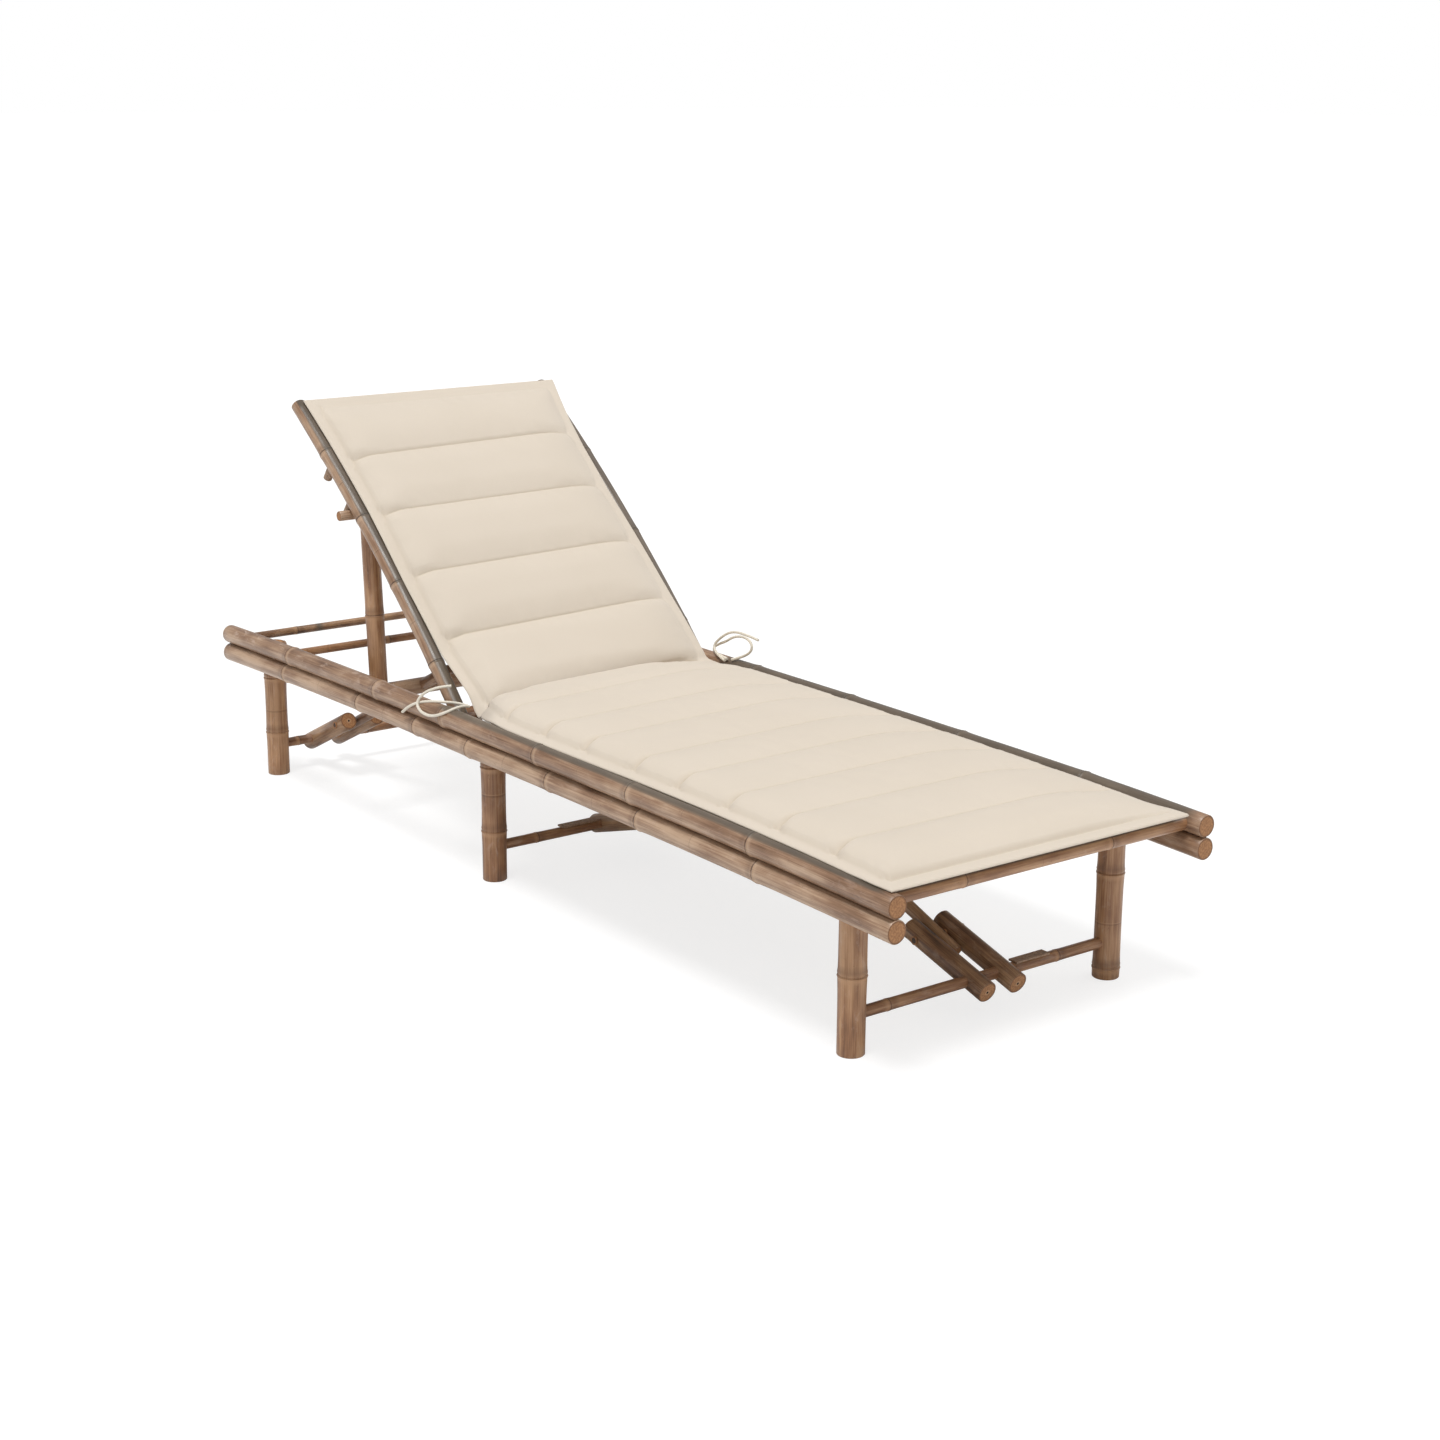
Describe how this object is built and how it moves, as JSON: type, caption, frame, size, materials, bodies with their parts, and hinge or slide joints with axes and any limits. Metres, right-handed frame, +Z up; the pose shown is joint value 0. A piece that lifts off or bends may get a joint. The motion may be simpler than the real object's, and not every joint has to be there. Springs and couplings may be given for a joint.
{
  "type": "bamboo sun lounger",
  "caption": "Low folding bamboo pole sun lounger with a hinged, propped backrest, a channel-quilted cushion and three leg frames that fold flat under the side rails on over-centre braces.",
  "frame": {"origin": "on the floor, midway between the side rails and midway along their length", "axes": "+Y towards the head end, +Z up, +X to the sitter's left"},
  "size_m": [0.6579, 2, 0.7615],
  "materials": {
    "bamboo": "satin",
    "dark_bamboo": "satin",
    "cushion_cloth": "matte",
    "tie_cord": "matte"
  },
  "bodies": {
    "bed_frame": {"upper_rail_right": "bamboo", "upper_rail_left": "bamboo", "lower_rail_right": "bamboo", "lower_rail_left": "bamboo", "foot_crossbar": "bamboo", "head_crossbar_outer": "bamboo", "head_crossbar_inner": "bamboo", "foot_leg_pins": "bamboo", "mid_leg_pins": "bamboo", "head_leg_pins": "bamboo", "brace_beam": "bamboo", "back_hinge_pins": "bamboo", "seat_slat_1": "bamboo", "seat_slat_2": "bamboo", "seat_slat_3": "bamboo", "seat_slat_4": "bamboo", "seat_slat_5": "bamboo", "seat_slat_6": "bamboo", "seat_slat_7": "bamboo", "seat_cushion": "cushion_cloth", "tie_cord_right": "tie_cord", "tie_cord_left": "tie_cord"},
    "backrest": {"back_pole_right": "bamboo", "back_pole_left": "bamboo", "back_bar_1": "bamboo", "back_bar_2": "bamboo", "back_bar_3": "bamboo", "back_bar_4": "bamboo", "back_bar_5": "bamboo", "back_pegs": "bamboo", "back_cushion": "cushion_cloth"},
    "prop_frame": {"prop_pole_right": "bamboo", "prop_pole_left": "bamboo", "prop_rod": "bamboo"},
    "foot_legs": {"foot_leg_right": "bamboo", "foot_leg_left": "bamboo", "foot_stretcher": "bamboo", "foot_keeper_strip": "bamboo"},
    "mid_legs": {"mid_leg_right": "bamboo", "mid_leg_left": "bamboo", "mid_stretcher": "bamboo", "mid_keeper_strip": "bamboo"},
    "head_legs": {"head_leg_right": "bamboo", "head_leg_left": "bamboo", "head_stretcher": "bamboo"},
    "foot_fork": {"foot_fork_pole_right": "dark_bamboo", "foot_fork_pole_left": "dark_bamboo", "foot_knee_bolts": "dark_bamboo"},
    "mid_fork": {"mid_fork_pole_right": "dark_bamboo", "mid_fork_pole_left": "dark_bamboo", "mid_knee_bolts": "dark_bamboo"},
    "head_fork": {"head_fork_pole_right": "dark_bamboo", "head_fork_pole_left": "dark_bamboo", "head_knee_bolts": "dark_bamboo"},
    "foot_brace_strut": {"foot_strut": "dark_bamboo"},
    "mid_brace_strut": {"mid_strut": "dark_bamboo"},
    "head_brace_strut": {"head_strut": "dark_bamboo", "head_beam": "bamboo"}
  },
  "joints": [
    {"name": "backrest_lift", "type": "hinge", "parent": "bed_frame", "child": "backrest", "pos_m": [0, 0.205, 0.273], "axis": [1, 0, 0], "range_deg": [0, 48]},
    {"name": "prop_swing", "type": "hinge", "parent": "bed_frame", "child": "prop_frame", "pos_m": [0, 0.545, 0.237], "axis": [1, 0, 0], "range_deg": [0, 73.4]},
    {"name": "foot_legs_fold", "type": "hinge", "parent": "bed_frame", "child": "foot_legs", "pos_m": [0, -0.855, 0.258], "axis": [1, 0, 0], "range_deg": [0, 79.3]},
    {"name": "foot_fork_turn", "type": "hinge", "parent": "foot_legs", "child": "foot_fork", "pos_m": [0, -0.855, 0.059], "axis": [1, 0, 0], "range_deg": [0, 73.3]},
    {"name": "foot_strut_turn", "type": "hinge", "parent": "bed_frame", "child": "foot_brace_strut", "pos_m": [0, -0.377, 0.237], "axis": [1, 0, 0], "range_deg": [-22.45, 0]},
    {"name": "mid_legs_fold", "type": "hinge", "parent": "bed_frame", "child": "mid_legs", "pos_m": [0, 0.101, 0.258], "axis": [-1, 0, 0], "range_deg": [0, 79.3]},
    {"name": "mid_fork_turn", "type": "hinge", "parent": "mid_legs", "child": "mid_fork", "pos_m": [0, 0.101, 0.059], "axis": [-1, 0, 0], "range_deg": [0, 73.3]},
    {"name": "mid_strut_turn", "type": "hinge", "parent": "bed_frame", "child": "mid_brace_strut", "pos_m": [0, -0.377, 0.237], "axis": [-1, 0, 0], "range_deg": [-22.45, 0]},
    {"name": "head_legs_fold", "type": "hinge", "parent": "bed_frame", "child": "head_legs", "pos_m": [0, 0.908, 0.258], "axis": [-1, 0, 0], "range_deg": [0, 78.3]},
    {"name": "head_fork_turn", "type": "hinge", "parent": "head_legs", "child": "head_fork", "pos_m": [0, 0.908, 0.059], "axis": [-1, 0, 0], "range_deg": [0, 66.15]},
    {"name": "head_strut_turn", "type": "hinge", "parent": "bed_frame", "child": "head_brace_strut", "pos_m": [0, 0.545, 0.237], "axis": [-1, 0, 0], "range_deg": [-26.7, 0]}
  ],
  "couplings": [
    {"joint": "prop_swing", "follows": "backrest_lift", "ratio": 1.5285},
    {"joint": "foot_fork_turn", "follows": "foot_legs_fold", "ratio": 0.9238},
    {"joint": "foot_strut_turn", "follows": "foot_legs_fold", "ratio": -0.2827},
    {"joint": "mid_fork_turn", "follows": "mid_legs_fold", "ratio": 0.9238},
    {"joint": "mid_strut_turn", "follows": "mid_legs_fold", "ratio": -0.2827},
    {"joint": "head_fork_turn", "follows": "head_legs_fold", "ratio": 0.8444},
    {"joint": "head_strut_turn", "follows": "head_legs_fold", "ratio": -0.3406}
  ]
}
